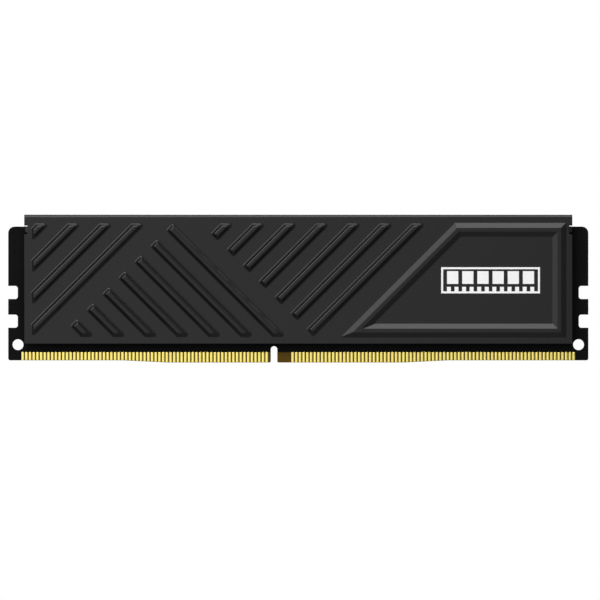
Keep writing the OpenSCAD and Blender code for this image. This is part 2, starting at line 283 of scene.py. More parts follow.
def wall_curve(width, height, radius, steps=ARC_STEPS):
    """A wall that leaves one level and meets the next in equal arcs, with a straight slope between."""
    rise = 2 * radius - height
    angle = math.asin(2 * radius / math.hypot(width, rise)) - math.atan2(rise, width)
    turns = [angle * i / steps for i in range(steps + 1)]
    foot = [(radius * math.sin(a), radius * (1 - math.cos(a))) for a in turns]
    return foot + [(width - t, height - h) for t, h in reversed(foot)]


def rounded_line(points, radius, steps=3):
    """A bent line whose inner points are replaced by arcs; its two ends are left out."""
    result = []
    for a, b, c in zip(points, points[1:], points[2:]):
        into = (Vector(b) - Vector(a)).normalized()
        out = (Vector(c) - Vector(b)).normalized()
        turn = math.atan2(into.x * out.y - into.y * out.x, into.dot(out))
        reach = radius * math.tan(abs(turn) / 2)
        start = Vector(b) - into * reach
        side = Vector((-into.y, into.x)) * math.copysign(radius, turn)
        centre = start + side
        for i in range(steps + 1):
            angle = turn * i / steps
            arm = -side
            result.append((
                centre.x + arm.x * math.cos(angle) - arm.y * math.sin(angle),
                centre.y + arm.x * math.sin(angle) + arm.y * math.cos(angle),
            ))
    return result


def round_edge(radius, steps=2):
    """Inset and depth along a quarter round."""
    angles = [math.pi / 2 * i / steps for i in range(steps + 1)]
    return [(radius * (1 - math.sin(a)), radius * (1 - math.cos(a))) for a in angles]


# ---- Meshes ----

class Shape:
    """Points in millimetres as x, depth and z, and faces that each name a material by number."""

    def __init__(self):
        self.points = []
        self.faces = []
        self.paint = []
        self.wear = []

    def add(self, points, faces, paint=0):
        first = len(self.points)
        self.points += points
        self.wear += [0.0] * len(points)
        self.faces += [[first + i for i in face] for face in faces]
        self.paint += [paint] * len(faces)

    def loft(self, rings, paint=0):
        """Joins rings of equal length one after another, and closes both ends."""
        count = len(rings[0])
        faces = []
        for k in range(len(rings) - 1):
            near, far = k * count, (k + 1) * count
            for i in range(count):
                after = (i + 1) % count
                faces.append([near + i, near + after, far + after, far + i])
        last = (len(rings) - 1) * count
        faces += [list(range(count))[::-1], [last + i for i in range(count)]]
        self.add([p for one in rings for p in one], faces, paint)

    def slab(self, low, high, edge, corner=None, paint=0):
        """A box from low to high in x, depth and z, with rounded corners and round edges."""
        corner = edge if corner is None else corner
        sides = rectangle(low[0], low[2], high[0], high[2])
        levels = [(t, low[1] + d) for t, d in round_edge(edge)]
        levels += [(t, high[1] - d) for t, d in reversed(round_edge(edge))]
        rings = []
        for inset, depth in levels:
            outline = ring(sides, inset, max(corner - inset, corner / 4), steps=3)
            rings.append([(x, depth, z) for x, z in outline])
        self.loft(rings, paint)

    def ribbon(self, path, width, depth, height):
        """A low strip of constant width along a path in x and z, a little narrower on top."""
        steps = list(zip(path, path[1:]))
        normals = [Vector((z0 - z1, x1 - x0)).normalized() for (x0, z0), (x1, z1) in steps]
        normals = [normals[0]] + normals + [normals[-1]]
        rings = []
        for (x, z), before, after in zip(path, normals, normals[1:]):
            out = (before + after) / (1 + before.dot(after)) * width / 2
            top = out * 0.8
            rings.append([
                (x - out.x, depth, z - out.y), (x + out.x, depth, z + out.y),
                (x + top.x, depth + height, z + top.y), (x - top.x, depth + height, z - top.y),
            ])
        self.loft(rings)


# Where a shape's x, depth and z lie in the frame: on the front, straight behind that, or turned round.
PLACES = {
    "front": lambda x, d, z: (x * MM, -d * MM, z * MM),
    "mirrored": lambda x, d, z: (x * MM, d * MM, z * MM),
    "turned": lambda x, d, z: (-x * MM, d * MM, z * MM),
}


def make_piece(name, shape, materials, stands_for=(), place="front"):
    """Turns a shape into an object that rides on the frame."""
    mesh = bpy.data.meshes.new(name)
    mesh.from_pydata([PLACES[place](*p) for p in shape.points], [], shape.faces)
    mesh.polygons.foreach_set("material_index", shape.paint)
    mesh.attributes.new("wear", "FLOAT", "POINT").data.foreach_set("value", shape.wear)
    work = bmesh.new()
    work.from_mesh(mesh)
    bmesh.ops.recalc_face_normals(work, faces=work.faces)
    work.to_mesh(mesh)
    work.free()
    mesh.shade_smooth()
    piece = bpy.data.objects.new(name, mesh)
    bpy.context.scene.collection.objects.link(piece)
    for material in materials:
        mesh.materials.append(material)
    even = piece.modifiers.new("even_shading", "WEIGHTED_NORMAL")
    even.mode = "FACE_AREA"
    even.weight = 60
    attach(piece, BODY)
    if stands_for:
        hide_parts(*stands_for)


# ---- Node helpers ----

def new_material(name):
    material = bpy.data.materials.new(name)
    material.use_nodes = True
    tree = material.node_tree
    return material, tree, tree.nodes["Principled BSDF"]


def object_space(tree, stretch=(1, 1, 1)):
    """Coordinates fixed to the object, in metres times three factors."""
    where = tree.nodes.new("ShaderNodeTexCoord")
    scale = tree.nodes.new("ShaderNodeMapping")
    scale.inputs["Scale"].default_value = stretch
    tree.links.new(where.outputs["Object"], scale.inputs["Vector"])
    return scale.outputs["Vector"]


def noise(tree, scale, detail, stretch=(1, 1, 1)):
    node = tree.nodes.new("ShaderNodeTexNoise")
    node.inputs["Scale"].default_value = scale
    node.inputs["Detail"].default_value = detail
    tree.links.new(object_space(tree, stretch), node.inputs["Vector"])
    return node.outputs["Fac"]


def wave(tree, scale, axis, distortion):
    node = tree.nodes.new("ShaderNodeTexWave")
    node.bands_direction = axis
    node.inputs["Scale"].default_value = scale
    node.inputs["Distortion"].default_value = distortion
    tree.links.new(object_space(tree), node.inputs["Vector"])
    return node.outputs["Fac"]


def ramp(tree, value, low, high, dark, light):
    """Turns a value between low and high into a number between dark and light."""
    node = tree.nodes.new("ShaderNodeMapRange")
    node.inputs["From Min"].default_value = low
    node.inputs["From Max"].default_value = high
    node.inputs["To Min"].default_value = dark
    node.inputs["To Max"].default_value = light
    tree.links.new(value, node.inputs["Value"])
    return node.outputs["Result"]


def multiply(tree, a, b):
    node = tree.nodes.new("ShaderNodeMath")
    node.operation = "MULTIPLY"
    for socket, value in zip(node.inputs, (a, b)):
        tree.links.new(value, socket)
    return node.outputs["Value"]


def mix_colour(tree, factor, a, b):
    """A colour between a and b; each is three numbers or another node's colour."""
    node = tree.nodes.new("ShaderNodeMix")
    node.data_type = "RGBA"
    tree.links.new(factor, node.inputs["Factor"])
    colours = [s for s in node.inputs if s.type == "RGBA"]
    for socket, value in zip(colours, (a, b)):
        if isinstance(value, tuple):
            socket.default_value = (*value, 1)
        else:
            tree.links.new(value, socket)
    return next(s for s in node.outputs if s.type == "RGBA")


def tint(tree, shader, factor, a, b):
    """Makes the base colour a mix of a and b."""
    tree.links.new(mix_colour(tree, factor, a, b), shader.inputs["Base Color"])


def roughen(tree, shader, value, low, high, smooth, rough):
    """Makes the roughness go from smooth to rough as a value goes from low to high."""
    tree.links.new(ramp(tree, value, low, high, smooth, rough), shader.inputs["Roughness"])


def bump(tree, shader, height, strength, distance, beneath=None):
    node = tree.nodes.new("ShaderNodeBump")
    node.inputs["Strength"].default_value = strength
    node.inputs["Distance"].default_value = distance
    tree.links.new(height, node.inputs["Height"])
    if beneath is not None:
        tree.links.new(beneath, node.inputs["Normal"])
    tree.links.new(node.outputs["Normal"], shader.inputs["Normal"])
    return node.outputs["Normal"]


# ---- Materials ----

def black_sheet():
    """Black coated aluminium with a fine sandy grain, and a little bare metal along its cut edges."""
    material, tree, shader = new_material("black_sheet")
    grain = noise(tree, 3600, 3)
    rubbed = tree.nodes.new("ShaderNodeAttribute")
    rubbed.attribute_name = "wear"
    patches = ramp(tree, noise(tree, 700, 4), 0.5, 0.8, 0, 0.5)
    worn = multiply(tree, rubbed.outputs["Fac"], patches)
    base = mix_colour(tree, grain, (0.0046, 0.0046, 0.0048), (0.0073, 0.0073, 0.0075))
    tint(tree, shader, worn, base, (0.046, 0.046, 0.047))
    roughen(tree, shader, grain, 0.3, 0.7, 0.2, 0.25)
    shader.inputs["Specular IOR Level"].default_value = 0.31
    bump(tree, shader, grain, 0.12, 0.00002)
    return material


def gold_plating():
    """Soft gold over nickel, with faint wiping marks along each contact."""
    material, tree, shader = new_material("gold_plating")
    streaks = noise(tree, 900, 3, (9, 9, 0.5))
    mottle = noise(tree, 350, 3)
    base = mix_colour(tree, mottle, (1.0, 0.80, 0.19), (1.0, 0.88, 0.25))
    tree.links.new(base, shader.inputs["Base Color"])
    shader.inputs["Metallic"].default_value = 1.0
    roughen(tree, shader, streaks, 0.3, 0.7, 0.2, 0.26)
    bump(tree, shader, streaks, 0.05, 0.000003)
    return material


def glass_laminate():
    """Brown epoxy over woven glass, whose layers show as lines along a cut edge."""
    material, tree, shader = new_material("glass_laminate")
    weave = multiply(tree, wave(tree, 480, "X", 0.6), wave(tree, 400, "Z", 0.6))
    layers = wave(tree, 1500, "Y", 1.5)
    fibres = noise(tree, 2600, 4, (0.4, 3, 0.4))
    base = mix_colour(tree, weave, (0.081, 0.043, 0.0026), (0.096, 0.054, 0.004))
    base = mix_colour(tree, ramp(tree, layers, 0.2, 0.9, 0, 0.3), base, (0.13, 0.079, 0.007))
    base = mix_colour(tree, ramp(tree, fibres, 0.4, 0.8, 0, 0.2), base, (0.046, 0.025, 0.003))
    tree.links.new(base, shader.inputs["Base Color"])
    roughen(tree, shader, fibres, 0.2, 0.8, 0.5, 0.75)
    shader.inputs["Specular IOR Level"].default_value = 0.12
    cloth = bump(tree, shader, weave, 0.1, 0.00001)
    bump(tree, shader, fibres, 0.2, 0.00001, cloth)
    return material


def solder_mask():
    """Matte black lacquer with a faint orange-peel surface and specks of dust."""
    material, tree, shader = new_material("solder_mask_lacquer")
    peel = noise(tree, 1400, 3)
    cloud = noise(tree, 150, 3)
    base = mix_colour(tree, cloud, (0.0042, 0.0043, 0.0044), (0.0066, 0.0066, 0.0067))
    tree.links.new(base, shader.inputs["Base Color"])
    roughen(tree, shader, peel, 0.3, 0.7, 0.36, 0.46)
    shader.inputs["Specular IOR Level"].default_value = 0.02
    bump(tree, shader, peel, 0.15, 0.00001)
    return material


def moulding_compound():
    """Dark grey epoxy with fine filler grains."""
    material, tree, shader = new_material("moulding_compound")
    filler = noise(tree, 5200, 4)
    swirl = noise(tree, 260, 3)
    base = mix_colour(tree, filler, (0.012, 0.012, 0.013), (0.026, 0.026, 0.027))
    base = mix_colour(tree, ramp(tree, swirl, 0.35, 0.7, 0, 0.3), base, (0.034, 0.033, 0.034))
    tree.links.new(base, shader.inputs["Base Color"])
    roughen(tree, shader, swirl, 0.3, 0.7, 0.55, 0.7)
    bump(tree, shader, filler, 0.3, 0.000012)
    return material


def chip_substrate():
    """The thin dark green board under a chip's moulding."""
    material, tree, shader = new_material("chip_substrate")
    cloth = multiply(tree, wave(tree, 700, "X", 1), wave(tree, 700, "Z", 1))
    tint(tree, shader, cloth, (0.008, 0.022, 0.012), (0.014, 0.036, 0.02))
    roughen(tree, shader, noise(tree, 900, 3), 0.3, 0.7, 0.35, 0.5)
    bump(tree, shader, cloth, 0.15, 0.000006)
    return material


def laser_mark():
    """A patch of moulding compound that a laser has paled."""
    material, tree, shader = new_material("laser_mark")
    lines = wave(tree, 4000, "Z", 1)
    tint(tree, shader, lines, (0.10, 0.10, 0.10), (0.17, 0.17, 0.165))
    roughen(tree, shader, lines, 0, 1, 0.7, 0.85)
    return material


def tin_solder():
    """Satin tin alloy, dulled in patches."""
    material, tree, shader = new_material("tin_solder")
    dull = noise(tree, 1800, 4)
    tint(tree, shader, dull, (0.5, 0.5, 0.51), (0.72, 0.72, 0.74))
    shader.inputs["Metallic"].default_value = 1.0
    roughen(tree, shader, dull, 0.3, 0.7, 0.25, 0.48)
    bump(tree, shader, dull, 0.25, 0.00001)
    return material


def capacitor_ceramic():
    """Tan fired ceramic."""
    material, tree, shader = new_material("capacitor_ceramic")
    fired = noise(tree, 2400, 4)
    tint(tree, shader, fired, (0.27, 0.15, 0.07), (0.37, 0.23, 0.12))
    roughen(tree, shader, fired, 0.3, 0.7, 0.38, 0.55)
    bump(tree, shader, fired, 0.2, 0.000008)
    return material


def resistor_glaze():
    """Black glaze with pinholes."""
    material, tree, shader = new_material("resistor_glaze")
    pits = noise(tree, 3800, 3)
    tint(tree, shader, pits, (0.009, 0.009, 0.01), (0.02, 0.02, 0.022))
    roughen(tree, shader, pits, 0.3, 0.7, 0.25, 0.4)
    bump(tree, shader, pits, 0.2, 0.000008)
    return material


def white_ceramic():
    """The alumina body under a resistor pack's glaze."""
    material, tree, shader = new_material("white_ceramic")
    fired = noise(tree, 3000, 4)
    tint(tree, shader, fired, (0.62, 0.6, 0.56), (0.74, 0.72, 0.69))
    roughen(tree, shader, fired, 0.3, 0.7, 0.5, 0.65)
    return material


def filled_silicone():
    """Grey-blue soft silicone, loaded with powder and printed with a faint cloth pattern."""
    material, tree, shader = new_material("filled_silicone")
    powder = noise(tree, 2100, 5)
    cloth = multiply(tree, wave(tree, 330, "X", 0.4), wave(tree, 330, "Z", 0.4))
    base = mix_colour(tree, powder, (0.21, 0.27, 0.33), (0.30, 0.37, 0.43))
    base = mix_colour(tree, ramp(tree, cloth, 0.3, 1, 0, 0.3), base, (0.35, 0.42, 0.48))
    tree.links.new(base, shader.inputs["Base Color"])
    roughen(tree, shader, powder, 0.3, 0.7, 0.62, 0.8)
    dimples = bump(tree, shader, cloth, 0.3, 0.00002)
    bump(tree, shader, powder, 0.3, 0.00001, dimples)
    return material


def white_ink():
    """Screen-printed white ink over the grainy sheet."""
    material, tree, shader = new_material("white_ink")
    grain = noise(tree, 3600, 3)
    tint(tree, shader, grain, (0.79, 0.79, 0.79), (0.87, 0.87, 0.87))
    roughen(tree, shader, grain, 0.3, 0.7, 0.4, 0.55)
    bump(tree, shader, grain, 0.2, 0.00001)
    return material


def label_paper():
    """Coated white paper with faint fibres."""
    material, tree, shader = new_material("label_paper")
    fibres = noise(tree, 1500, 5, (1, 1, 2.5))
    tint(tree, shader, fibres, (0.70, 0.71, 0.71), (0.80, 0.80, 0.79))
    roughen(tree, shader, fibres, 0.3, 0.7, 0.42, 0.58)
    bump(tree, shader, fibres, 0.2, 0.00001)
    return material


def grey_print():
    """Grey printing ink on the label, a little uneven."""
    material, tree, shader = new_material("grey_print")
    spread = noise(tree, 2600, 3)
    tint(tree, shader, spread, (0.09, 0.09, 0.1), (0.16, 0.16, 0.17))
    roughen(tree, shader, spread, 0.3, 0.7, 0.5, 0.65)
    return material


def pale_floor():
    """Pale and matt, with a glow beyond the reach of the studio lights so that it is as pale there."""
    material, tree, shader = new_material("pale_floor")
    speck = noise(tree, 40, 3)
    tint(tree, shader, speck, (0.84, 0.84, 0.84), (0.88, 0.88, 0.88))
    shader.inputs["Roughness"].default_value = 0.9
    away = tree.nodes.new("ShaderNodeVectorMath")
    away.operation = "LENGTH"
    tree.links.new(object_space(tree), away.inputs[0])
    shader.inputs["Emission Color"].default_value = (1, 1, 1, 1)
    glow = ramp(tree, away.outputs["Value"], 0.25, 0.75, 0, 0.6)
    tree.links.new(glow, shader.inputs["Emission Strength"])
    return material


# ---- Heat-spreader plates ----

BEND_RUN = BEND_R * math.pi / 2
BEND_START_Z = PLATE_HIGH.z - BEND_R
BEND_START_X = PLATE_HIGH.x - BEND_R
SEAM = -PLATE_HIGH.y
FLANGE_END = BEND_START_Z + BEND_RUN + PLATE_FACE - SEAM - BEND_R
TAB_GAP = 0.01
TAB_END = BEND_START_X + BEND_RUN + PLATE_FACE - BOARD_FACE - TAB_GAP - BEND_R


def bent(run, through):
    """Folds the sheet back by 90 degrees. Run is the distance along its outer face past the start of the
    bend, and through is the distance under that face. Returns the distances ahead and back."""
    angle = max(0.0, min(run, BEND_RUN)) / BEND_R
    r = BEND_R - through
    ahead = min(run, 0.0) + r * math.sin(angle)
    return ahead, BEND_R - r * math.cos(angle) + max(0.0, run - BEND_RUN)


def sheet_point(x, s, height, through):
    """A point of the sheet from its unfolded place, its stamped height and its depth below the face."""
    if s >= BEND_START_Z:
        ahead, back = bent(s - BEND_START_Z, through)
        return x, PLATE_FACE - back, BEND_START_Z + ahead
    if abs(x) > BEND_START_X and TAB_BOTTOM - SLOT_R < s < TAB_TOP + TOP_SLOT_R:
        ahead, back = bent(abs(x) - BEND_START_X, through)
        return math.copysign(BEND_START_X + ahead, x), PLATE_FACE - back, s
    return x, PLATE_FACE + height - through, s


def slot_end(z, radius):
    """The round end of a relief slot from its lower side to its upper, but for the first and last point."""
    angles = [-math.pi * (0.5 + i / SLOT_STEPS) for i in range(1, SLOT_STEPS)]
    return [(BEND_START_X + radius * (1 + math.cos(a)), z + radius * math.sin(a)) for a in angles]


def unfolded_side():
    """The right end of the unfolded sheet, from its lower corner to the end of the top flange."""
    end = PLATE_HIGH.x
    slot_x = BEND_START_X + SLOT_R
    arc = [BEND_RUN * i / ARC_STEPS for i in range(ARC_STEPS + 1)]
    along_tab = [slot_x] + [BEND_START_X + a for a in arc if a > SLOT_R] + [TAB_END]
    side = [(end, PLATE_LOW.z), (end, TAB_BOTTOM - 2 * SLOT_R), (slot_x, TAB_BOTTOM - 2 * SLOT_R)]
    side += slot_end(TAB_BOTTOM - SLOT_R, SLOT_R)
    side += [(x, TAB_BOTTOM) for x in along_tab]
    side += [(x, TAB_TOP) for x in reversed(along_tab)]
    side += slot_end(TAB_TOP + TOP_SLOT_R, TOP_SLOT_R)
    side += [(slot_x, TAB_TOP + 2 * TOP_SLOT_R), (end, TAB_TOP + 2 * TOP_SLOT_R)]
    side += [(end, BEND_START_Z + a) for a in arc]
    side += [(end, FLANGE_END)]
    return side


def fold_lines(outline):
    """Pairs of outline points that a straight fold joins: across the top flange and across each end tab."""
    last = len(outline) - 1
    folds = []
    for i, (x, s) in enumerate(outline):
        if x > 0 and BEND_START_Z <= s < FLANGE_END:
            folds.append((i, last - i))
    tip = outline.index((TAB_END, TAB_BOTTOM))
    k = 1
    while outline[tip - k][1] >= TAB_BOTTOM - SLOT_R:
        low, high = tip - k, tip + 1 + k
        folds += [(low, high), (last - low, last - high)]
        k += 1
    return folds


def stamped_outlines():
    """The half-planes round each rib."""
    region = rectangle(-STAMP_HALF_LENGTH, STAMP_BOTTOM, STAMP_HALF_LENGTH, STAMP_TOP)
    far = 2 * PLATE_HIGH.x
    left_low = LEFT_HIGH - RIB_WIDTH - (LEFT_RIBS - 1) * RIB_PITCH
    middle_low = MIDDLE_HIGH - RIB_WIDTH - (MIDDLE_RIBS - 1) * RIB_PITCH
    right_low = FRAME_SIDE - FRAME_GAP - RIB_WIDTH - (RIGHT_RIBS - 1) * RIB_PITCH
    ribs = []
    for i in range(LEFT_RIBS):
        low = left_low + i * RIB_PITCH
        ribs.append(clipped(region, rising(low, low + RIB_WIDTH)))
    after_left = rising(LEFT_HIGH + GROUP_GAP, far)[1:]
    for i in range(MIDDLE_RIBS):
        low = middle_low + i * RIB_PITCH
        ribs.append(clipped(region, falling(low, low + RIB_WIDTH) + after_left))
    after_middle = falling(MIDDLE_HIGH + GROUP_GAP, far)[1:]
    for i in range(RIGHT_RIBS):
        low = right_low + i * RIB_PITCH
        ribs.append(clipped(region, rising(low, low + RIB_WIDTH) + after_middle))
    return ribs


def frame_outline():
    """The half-planes round the stamped frame."""
    region = rectangle(-STAMP_HALF_LENGTH, STAMP_BOTTOM, STAMP_HALF_LENGTH, STAMP_TOP)
    return clipped(region, rising(FRAME_SIDE, 2 * PLATE_HIGH.x)[1:])


def rib_rings(sides):
    """Rings up a rib's wall from the flat round it, with corners that tighten towards its top."""
    section = [(-FLAT_RIM, 0.0)] + wall_curve(RIB_WALL, STAMP_HEIGHT, RIB_BEND_R)
    change = RIB_TOP_CORNER - RIB_FOOT_CORNER
    return [(ring(sides, t, RIB_FOOT_CORNER + change * t / RIB_WALL), h) for t, h in section]


def frame_rings(sides):
    """Rings over the stamped frame: the flat round it, its outer wall, its top and its inner wall."""
    across = 2 * FRAME_WALL + FRAME_FLAT
    sharp = [
        (-1, 0), (0, 0), (FRAME_WALL, STAMP_HEIGHT),
        (FRAME_WALL + FRAME_FLAT, STAMP_HEIGHT), (across, 0), (across + 1, 0),
    ]
    section = [(-FLAT_RIM, 0.0)] + rounded_line(sharp, FRAME_BEND_R)
    return [(ring(sides, t, FRAME_CORNER), h) for t, h in section]


class PlateFace:
    """The unfolded sheet: points with a place and a height, and faces seen from outside."""

    def __init__(self):
        self.points = []
        self.faces = []

    def add_rings(self, rings):
        """Lofts stamped rings from the foot inwards, closes the last, and returns the foot's numbers."""
        first = len(self.points)
        count = len(rings[0][0])
        for outline, height in rings:
            self.points += [(x, z, height) for x, z in outline]
        for k in range(len(rings) - 1):
            a, b = first + k * count, first + (k + 1) * count
            for i in range(count):
                after = (i + 1) % count
                self.faces.append([a + i, a + after, b + after, b + i])
        self.faces.append([first + (len(rings) - 1) * count + i for i in range(count)])
        return list(range(first, first + count))

    def fill(self, outline, holes, folds):
        """Fills the flat stretches between the outline and the holes, keeping an edge along each fold."""
        loops = [outline] + holes
        numbers = [n for loop in loops for n in loop]
        local = {n: i for i, n in enumerate(numbers)}
        edges = [(local[a], local[b]) for loop in loops for a, b in zip(loop, loop[1:] + loop[:1])]
        edges += [(local[a], local[b]) for a, b in folds]
        flat = [Vector(self.points[n][:2]) for n in numbers]
        shapes = [[tuple(flat[local[n]]) for n in loop] for loop in loops]
        spots, _, faces, origin, _, _ = delaunay_2d_cdt(flat, edges, [], 0, 1e-9)
        for face in faces:
            centre = sum((spots[i] for i in face), Vector((0, 0))) / len(face)
            if inside(centre, shapes[0]) and not any(inside(centre, hole) for hole in shapes[1:]):
                self.faces.append([numbers[origin[i][0]] for i in face])


def heat_spreader(name, material, place):
    """A folded and stamped sheet of even thickness, with round edges that are marked as worn."""
    face = PlateFace()
    side = unfolded_side()
    outline = side + [(-x, s) for x, s in reversed(side)]
    count = len(outline)
    face.points += [(x, s, 0.0) for x, s in moved_in(outline, RIM_R)]
    feet = [face.add_rings(rib_rings(sides)) for sides in stamped_outlines()]
    feet.append(face.add_rings(frame_rings(frame_outline())))
    face.fill(list(range(count)), feet, fold_lines(outline))

    shape = Shape()
    total = len(face.points)
    outer = [sheet_point(x, s, h, 0) for x, s, h in face.points]
    inner = [sheet_point(x, s, h, SHEET_T) for x, s, h in face.points]
    shape.add(outer + inner, face.faces + [[total + i for i in reversed(f)] for f in face.faces])
    levels = round_edge(RIM_R, 3)[1:]
    levels += [(t, SHEET_T - d) for t, d in reversed(levels)]
    rims = [list(range(count))]
    for inset, through in levels:
        rims.append([len(shape.points) + i for i in range(count)])
        shape.add([sheet_point(x, s, 0, through) for x, s in moved_in(outline, inset)], [])
    rims.append([total + i for i in range(count)])
    walls = [
        [near[i], far[i], far[(i + 1) % count], near[(i + 1) % count]]
        for near, far in zip(rims, rims[1:])
        for i in range(count)
    ]
    shape.faces += walls
    shape.paint += [0] * len(walls)
    shape.wear = [0.0] * (2 * total) + [1.0] * (len(shape.points) - 2 * total)
    make_piece(name, shape, [material], [name.replace("_sheet", "")], place)


# ---- Contacts and traces ----

def contact_places():
    """The contacts' middles, to the left of the notch and to its right."""
    left = [PCB_LOW.x + CONTACT_MARGIN + i * CONTACT_PITCH for i in range(CONTACTS_LEFT)]
    right = [PCB_HIGH.x - CONTACT_MARGIN - i * CONTACT_PITCH for i in range(CONTACTS_RIGHT)]
    return left, right


def contact(shape, x, foot):
    """One plated contact: slightly crowned, with a round-cornered upper end."""
    half, corner, foot_share = CONTACT_WIDTH / 2, CONTACT_CORNER, 0.6
    thick = BOARD_FACE - LAMINATE_FACE
    columns = [half * math.sin(math.pi / 2 * i / 5) for i in range(-5, 6)]
    # Distances from the upper end, and the share of the full height there.
    upper_end = [(0.0, 0.35), (0.025, 0.75), (0.08, 0.93), (0.2, 1.0)]
    rings = []
    for back, rise in upper_end:
        line = []
        for c in columns:
            over = max(0.0, abs(c) - half + corner)
            top = CONTACT_TOP - corner + math.sqrt(max(0.0, corner ** 2 - over ** 2))
            height = thick - CONTACT_CROWN * (1 - math.sqrt(1 - 0.96 * (c / half) ** 4))
            line.append((x + c, LAMINATE_FACE + height * rise, top - back))
        rings.append(line)
    # Two rings near the foot keep the shading level down to there.
    for up in (0.16, 0.03):
        rings.append([(px, d, foot + up) for px, d, _ in rings[-1]])
    rings.append([(px, LAMINATE_FACE + (d - LAMINATE_FACE) * foot_share, foot) for px, d, _ in rings[-1]])
    first = [(px, LAMINATE_FACE, z) for px, _, z in rings[0]]
    last = [(px, LAMINATE_FACE, z) for px, _, z in rings[-1]]
    rings = [first] + rings + [last]
    width = len(columns)
    faces = [
        [k * width + i, k * width + i + 1, (k + 1) * width + i + 1, (k + 1) * width + i]
        for k in range(len(rings) - 1)
        for i in range(width - 1)
    ]
    left_side = [k * width for k in range(len(rings))]
    right_side = [k * width + width - 1 for k in range(len(rings))]
    faces += [left_side[::-1], right_side]
    faces.append(list(range(width)) + [(len(rings) - 1) * width + i for i in range(width - 1, -1, -1)])
    shape.add([p for one in rings for p in one], faces)


def contacts(name, material, place):
    """All of one face's contacts, each down to the contact edge."""
    shape = Shape()
    half = CONTACT_WIDTH / 2
    for group in contact_places():
        for x in group:
            contact(shape, x, max(edge_z(x - half), edge_z(x + half)))
    make_piece(name + "_plated", shape, [material], [name], place)


def pack_places():
    """Middles of the resistor packs, each above four contacts."""
    reach, first = 4 * CONTACT_PITCH, CONTACT_MARGIN + 1.5 * CONTACT_PITCH
    left = [PCB_LOW.x + first + i * reach for i in range(1, CONTACTS_LEFT // 4)]
    right = [PCB_HIGH.x - first - i * reach for i in range(1, CONTACTS_RIGHT // 4)]
    return left + right


def via(shape, x, z, end):
    """A plated hole under the mask, and a short line that leaves it towards the board's middle."""
    # Inset and height of each ring, the last of them round the dip of the hole.
    levels = [(0, 0), (0.03, 0.014), (0.12, 0.014), (0.16, 0.004)]
    spot = disc(x, z, VIA_R, 8)
    shape.loft([[(px, BOARD_FACE + d, pz) for px, pz in ring(spot, t, 0.1, 2)] for t, d in levels])
    path = [(x, z + VIA_R), (x, z + 0.9), (x - end * 0.5, z + 1.4), (x - end * 0.5, z + 2)]
    shape.ribbon(path, 0.14, BOARD_FACE, TRACE_HEIGHT)


def traces(name, material, place):
    """Copper lines under the mask from the contacts up to the resistor packs, and vias at the ends."""
    shape = Shape()
    packs_low = box_mm("resistor_arrays_front")[0].z
    for middle in pack_places():
        for k in ROW_OF_FOUR:
            start, end = middle + k * CONTACT_PITCH, middle + k * LEAD_PITCH
            turn = TRACE_TURN + TRACE_STAGGER * abs(k)
            path = [(start, TRACE_START), (start, turn), (end, turn + abs(end - start)), (end, packs_low)]
            shape.ribbon(path, TRACE_WIDTH, BOARD_FACE, TRACE_HEIGHT)
    for end in (-1, 1):
        for i in range(VIAS):
            via(shape, end * (PCB_HIGH.x - VIA_MARGIN), VIA_LOWEST + VIA_PITCH * i, end)
    make_piece(name, shape, [material], (), place)


# ---- Components on the board ----

def dram_chip(name, materials):
    """A ball-grid package: thin substrate, moulded body and a paled dot at the first ball."""
    low, high = box_mm(name)
    place = "front" if high.y < 0 else "mirrored"
    foot, face = min(abs(low.y), abs(high.y)), max(abs(low.y), abs(high.y))
    shape = Shape()
    step, inset = foot + SUBSTRATE_T, 0.04
    shape.slab((low.x, foot, low.z), (high.x, step, high.z), 0.02, 0.08, paint=1)
    shape.slab((low.x + inset, step, low.z + inset),
               (high.x - inset, face - 0.004, high.z - inset), 0.06, 0.12)
    dot = disc(low.x + DOT_INSET, high.z - DOT_INSET, DOT_R, 12)
    shape.loft([[(x, d, z) for x, z in ring(dot, 0, 0.1, 1)] for d in (face - 0.01, face)], paint=2)
    make_piece(name + "_package", shape, materials, [name], place)


def solder_balls(name, material, place, chips):
    """Balls pressed between each chip and the board, wider at the middle than at the ends."""
    shape = Shape()
    foot = BOARD_FACE
    height = min(abs(v) for v in (box_mm(chips[0])[0].y, box_mm(chips[0])[1].y)) - foot
    # Shares of the height, and the share of the full radius there.
    levels = [(0.0, 0.72), (0.2, 0.93), (0.5, 1.0), (0.8, 0.93), (1.0, 0.72)]
    turns = [math.tau * i / BALL_SIDES for i in range(BALL_SIDES)]
    for chip in chips:
        low, high = box_mm(chip)
        cx, cz = (low.x + high.x) / 2, (low.z + high.z) / 2
        for column in BALL_COLUMNS:
            for row in range(BALL_ROWS):
                x, z = cx + column * BALL_PITCH, cz + (row - (BALL_ROWS - 1) / 2) * BALL_PITCH
                rings = []
                for t, r in levels:
                    reach, depth = BALL_R * r, foot + height * t
                    rings.append([(x + reach * math.cos(a), depth, z + reach * math.sin(a)) for a in turns])
                shape.loft(rings)
    make_piece(name + "_reflowed", shape, [material], [name], place)


def capacitor(shape, x, z, length, height, thick):
    """A ceramic block with a tinned cap round each end and a bead of solder at its foot."""
    cap, bead, sunk = length * 0.24, 0.12, 0.015
    near, far = BOARD_FACE, BOARD_FACE + thick
    bottom, top = z - height / 2, z + height / 2
    shape.slab((x - length / 2 + 0.02, near + 0.02, bottom + sunk),
               (x + length / 2 - 0.02, far - sunk, top - sunk), 0.03)
    for s in (-1, 1):
        inner = x + s * (length / 2 - cap)
        x0, x1 = sorted((x + s * length / 2, inner))
        shape.slab((x0, near + 0.01, bottom), (x1, far, top), 0.045, paint=1)
        x0, x1 = sorted((inner, x + s * (length / 2 + bead)))
        shape.slab((x0, near, bottom - 0.04), (x1, near + thick * 0.3, top + 0.04), 0.05, 0.1, 1)


